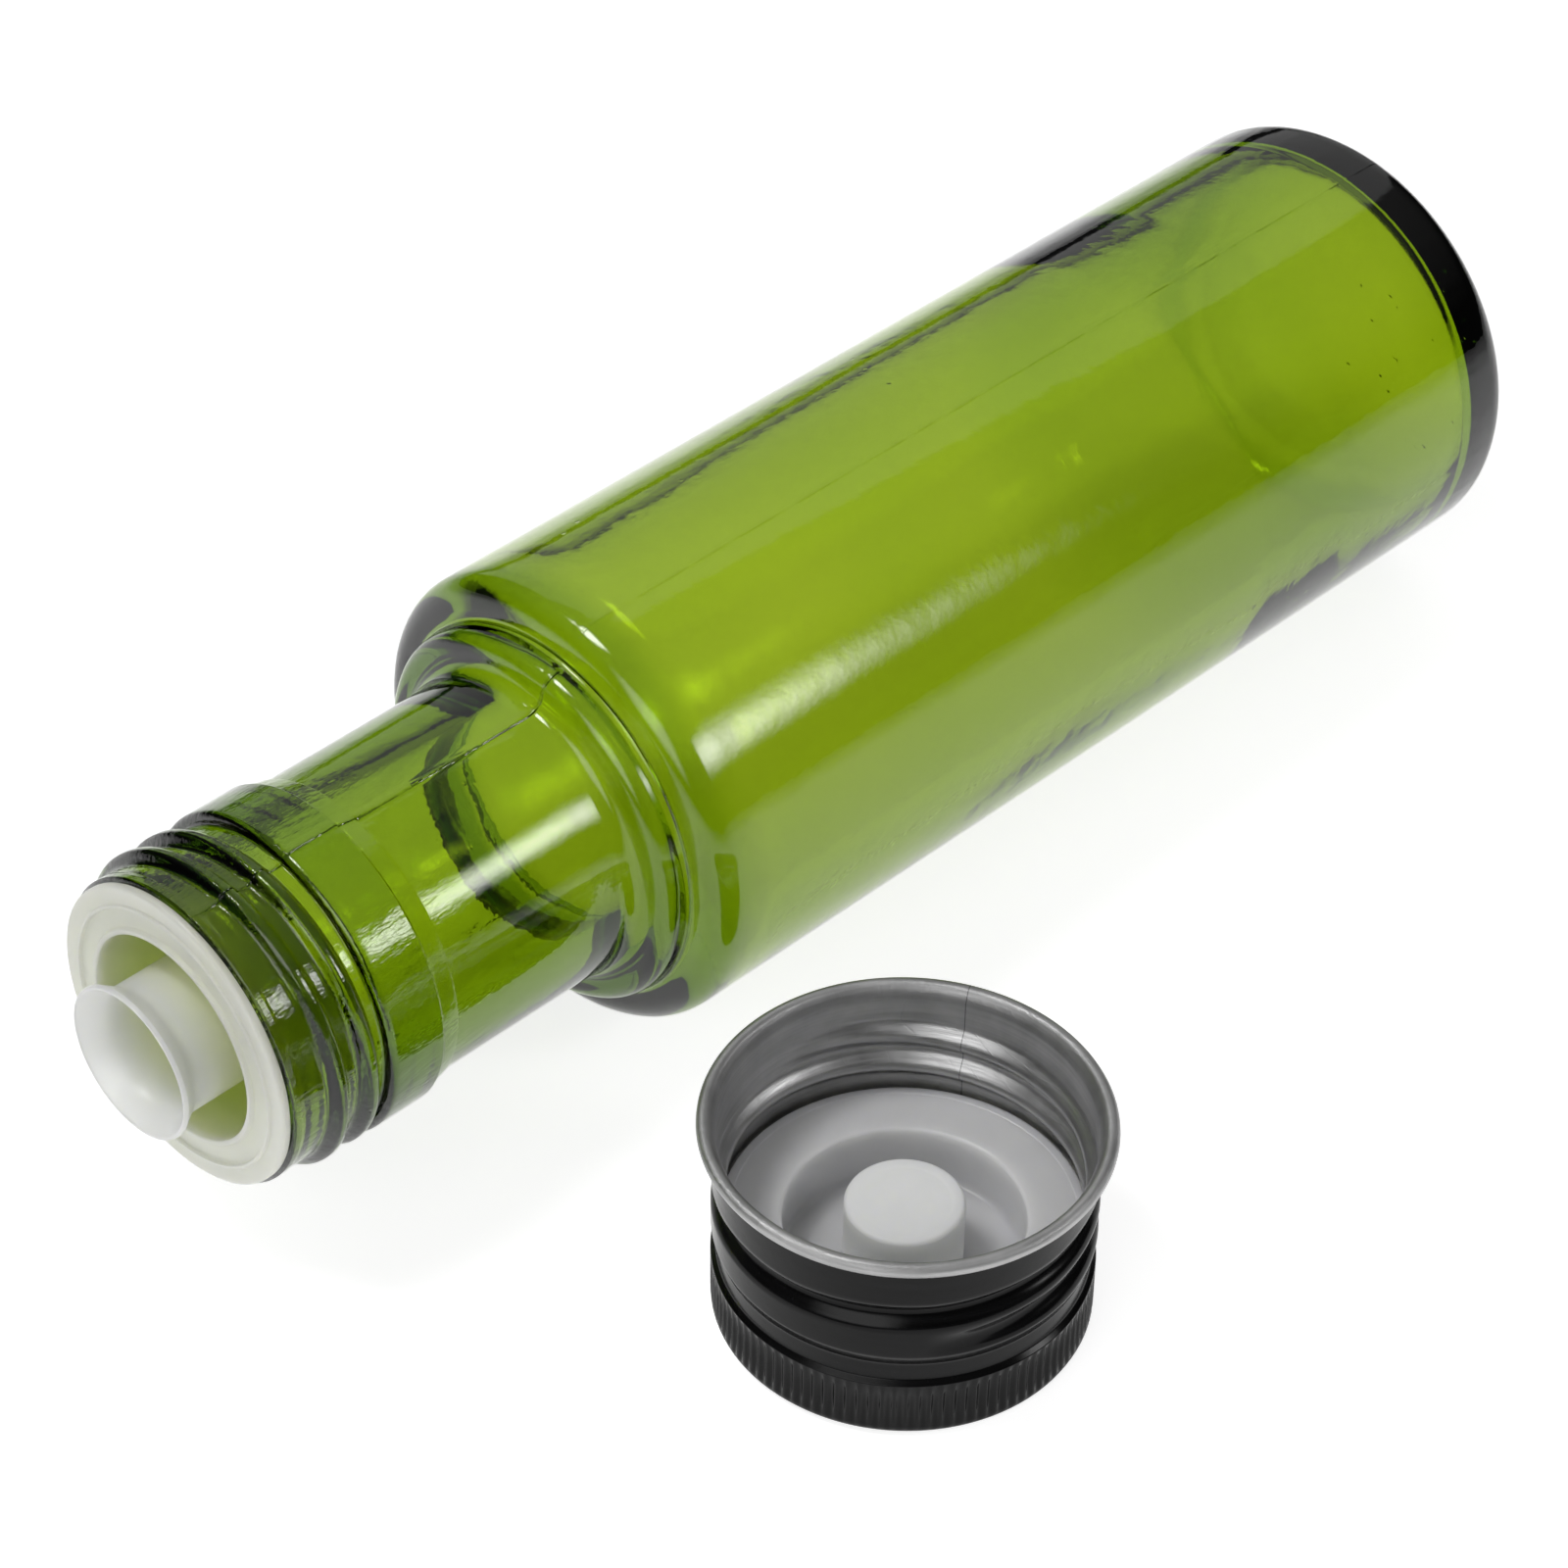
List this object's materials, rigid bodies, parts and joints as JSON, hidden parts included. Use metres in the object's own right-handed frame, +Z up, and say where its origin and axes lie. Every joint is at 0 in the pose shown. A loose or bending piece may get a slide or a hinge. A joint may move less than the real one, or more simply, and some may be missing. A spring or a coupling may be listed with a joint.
{
  "type": "glass oil bottle",
  "caption": "Small round green-glass oil bottle on its side, with threaded neck, plug-in pourer and a separate knurled screw cap lined with plastic.",
  "frame": {"origin": "on the table, under the middle of the whole group's box", "axes": "+X along the bottle's axis from its mouth to its base, +Z up, the cap stands on the -Y side"},
  "size_m": [0.1494, 0.0852, 0.0426],
  "materials": {
    "green_glass": "clear olive-green container glass, fire-polished, with faint mould lines",
    "pourer_plastic": "translucent milky natural polyethylene",
    "black_lacquer": "satin black lacquer on rolled aluminium, bare and brushed inside and on the rim curl",
    "bare_aluminium": "bare rolled aluminium, lightly scratched, inside the cap and on its curl",
    "liner_plastic": "translucent grey-white moulded plastic",
    "plug_plastic": "solid white moulded plastic"
  },
  "bodies": {
    "bottle": {"glass_bottle": "green_glass"},
    "pourer": {"pourer_insert": "pourer_plastic"},
    "cap_seal": {"cap_liner": "liner_plastic", "cap_plug": "plug_plastic"},
    "cap": {"cap_shell": "black_lacquer"}
  },
  "joints": [
    {"name": "pourer_pull", "type": "slide", "parent": "bottle", "child": "pourer", "axis": [-1, 0, 0], "range_m": [0, 0.014]},
    {"name": "cap_lift", "type": "slide", "parent": "bottle", "child": "cap_seal", "axis": [0, 0, 1], "range_m": [0, 0.06]},
    {"name": "cap_turn", "type": "hinge", "parent": "cap_seal", "child": "cap", "pos_m": [-0.0334, -0.02565, 0.01], "axis": [0, 0, 1], "continuous": true}
  ]
}
